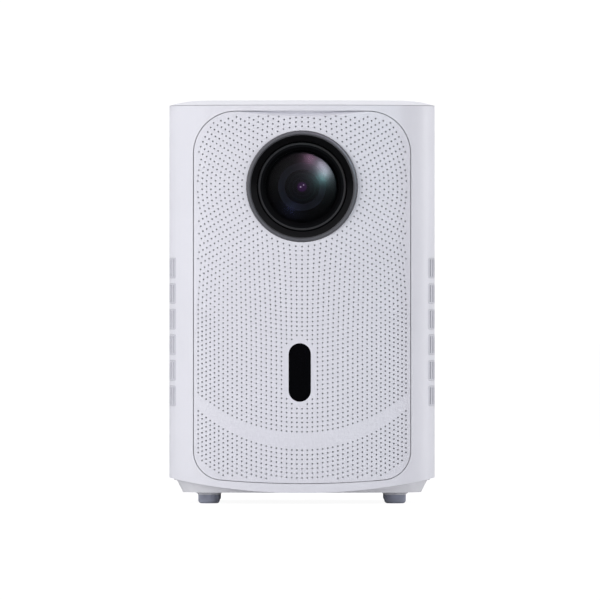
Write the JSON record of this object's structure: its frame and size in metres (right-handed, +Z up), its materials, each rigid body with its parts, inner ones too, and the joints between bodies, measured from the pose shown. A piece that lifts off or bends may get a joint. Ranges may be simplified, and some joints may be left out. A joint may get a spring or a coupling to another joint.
{
  "type": "home projector",
  "caption": "Upright home video projector in a rounded white housing, with a motor-focused lens above a perforated front panel, side vents, a rear fan and rubber feet.",
  "frame": {"origin": "on the floor under the middle of the body", "axes": "+Z up, the lens looks along -Y, +X to the viewer's right seen from the front"},
  "size_m": [0.1386, 0.15, 0.2111],
  "materials": {
    "shell_plastic": "fine satin moulded plastic, cool white",
    "panel_plastic": "satin moulded plastic, cool white, perforated",
    "vent_plastic": "satin moulded plastic",
    "base_plastic": "satin moulded plastic",
    "black_plastic": "matt black moulded plastic",
    "barrel_plastic": "ribbed black glass-filled plastic",
    "mesh_fabric": "woven acoustic mesh",
    "trim_ring": "satin dark grey",
    "window_gloss": "gloss black, passes infrared",
    "circuit_board": "solder mask",
    "foot_rubber": "moulded rubber",
    "insert_brass": "turned",
    "button_plastic": "satin moulded plastic",
    "light_ring": "milky diffusing plastic",
    "clear_plastic": "moulded acrylic",
    "lens_glass": "coated optical glass",
    "mirror_glass": "front-silvered",
    "ribbon_film": "polyimide film",
    "gear_nylon": "moulded nylon",
    "screw_steel": "black-plated steel",
    "socket_steel": "plated sheet steel",
    "heat_aluminium": "extruded and stamped",
    "pipe_copper": "drawn copper",
    "led_phosphor": "yellow phosphor",
    "fan_plastic": "black moulded plastic",
    "chip_black": "moulded packages",
    "component_plastic": "sleeved components",
    "basket_steel": "painted pressed steel",
    "speaker_cone": "pulp cone with rubber edge"
  },
  "bodies": {
    "housing": {"ac_inlet": "black_plastic", "acoustic_mesh": "mesh_fabric", "audio_socket": "black_plastic", "base_plate": "base_plastic", "blower_case": "black_plastic", "button_board": "circuit_board", "button_ring": "light_ring", "cold_plate": "heat_aluminium", "condenser_lens": "lens_glass", "engine_lower_housing": "black_plastic", "engine_upper_housing": "black_plastic", "fan_frame": "black_plastic", "fin_stack": "heat_aluminium", "focus_clip": "screw_steel", "focus_motor": "socket_steel", "fold_mirror": "mirror_glass", "foot_pads": "foot_rubber", "front_grille": "panel_plastic", "grille_frame": "black_plastic", "hdmi_socket": "socket_steel", "heat_glass": "lens_glass", "heat_pipes": "pipe_copper", "lcd_frame": "black_plastic", "lcd_glass": "lens_glass", "lcd_ribbon": "ribbon_film", "led_board": "heat_aluminium", "led_emitter": "led_phosphor", "lens_hood": "black_plastic", "lens_mount": "black_plastic", "lens_trim_ring": "trim_ring", "lower_fresnel": "clear_plastic", "main_board": "circuit_board", "main_board_chips": "chip_black", "main_shell": "shell_plastic", "power_board": "circuit_board", "power_components": "component_plastic", "rear_cover": "shell_plastic", "screws": "screw_steel", "sensor_board": "circuit_board", "sensor_window": "window_gloss", "side_vent_left": "vent_plastic", "side_vent_right": "vent_plastic", "speaker_baskets": "basket_steel", "speaker_boxes": "black_plastic", "top_cover": "shell_plastic", "tripod_insert": "insert_brass", "upper_fresnel": "clear_plastic", "usb_socket": "socket_steel"},
    "lens_barrel": {"lens_barrel": "barrel_plastic", "lens_retaining_ring": "barrel_plastic", "front_lens": "lens_glass", "middle_lens": "lens_glass", "rear_lens": "lens_glass"},
    "focus_ring": {"focus_ring": "gear_nylon"},
    "focus_pinion": {"focus_pinion": "gear_nylon"},
    "power_button": {"power_button": "button_plastic"},
    "fan_rotor": {"fan_rotor": "fan_plastic"},
    "blower_impeller": {"blower_impeller": "fan_plastic"},
    "speaker_cone_left": {"speaker_cone_left": "speaker_cone"},
    "speaker_cone_right": {"speaker_cone_right": "speaker_cone"}
  },
  "joints": [
    {"name": "focus_ring_turn", "type": "hinge", "parent": "housing", "child": "focus_ring", "pos_m": [0, -0.0407, 0.1653], "axis": [0, -1, 0], "range_deg": [-47, 47]},
    {"name": "lens_barrel_slide", "type": "slide", "parent": "housing", "child": "lens_barrel", "axis": [0, -1, 0], "range_m": [-0.0015, 0.0015]},
    {"name": "focus_pinion_spin", "type": "hinge", "parent": "housing", "child": "focus_pinion", "pos_m": [0.02758, -0.0407, 0.14216], "axis": [0, -1, 0], "range_deg": [-235, 235]},
    {"name": "power_button_press", "type": "slide", "parent": "housing", "child": "power_button", "axis": [0, 0, -1], "range_m": [0, 0.0008], "stiffness_N_per_m": 600, "springref_m": -0.0008},
    {"name": "fan_spin", "type": "hinge", "parent": "housing", "child": "fan_rotor", "pos_m": [0, 0.0622, 0.1123], "axis": [0, 1, 0], "continuous": true},
    {"name": "blower_spin", "type": "hinge", "parent": "housing", "child": "blower_impeller", "pos_m": [0.05955, 0.0109, 0.0808], "axis": [1, 0, 0], "continuous": true},
    {"name": "speaker_left_stroke", "type": "slide", "parent": "housing", "child": "speaker_cone_left", "axis": [0, -1, 0], "range_m": [-0.001, 0.001], "stiffness_N_per_m": 800},
    {"name": "speaker_right_stroke", "type": "slide", "parent": "housing", "child": "speaker_cone_right", "axis": [0, -1, 0], "range_m": [-0.001, 0.001], "stiffness_N_per_m": 800}
  ],
  "couplings": [
    {"joint": "focus_ring_turn", "follows": "lens_barrel_slide", "rad_per_m": 523.6},
    {"joint": "focus_pinion_spin", "follows": "lens_barrel_slide", "rad_per_m": -2618}
  ]
}
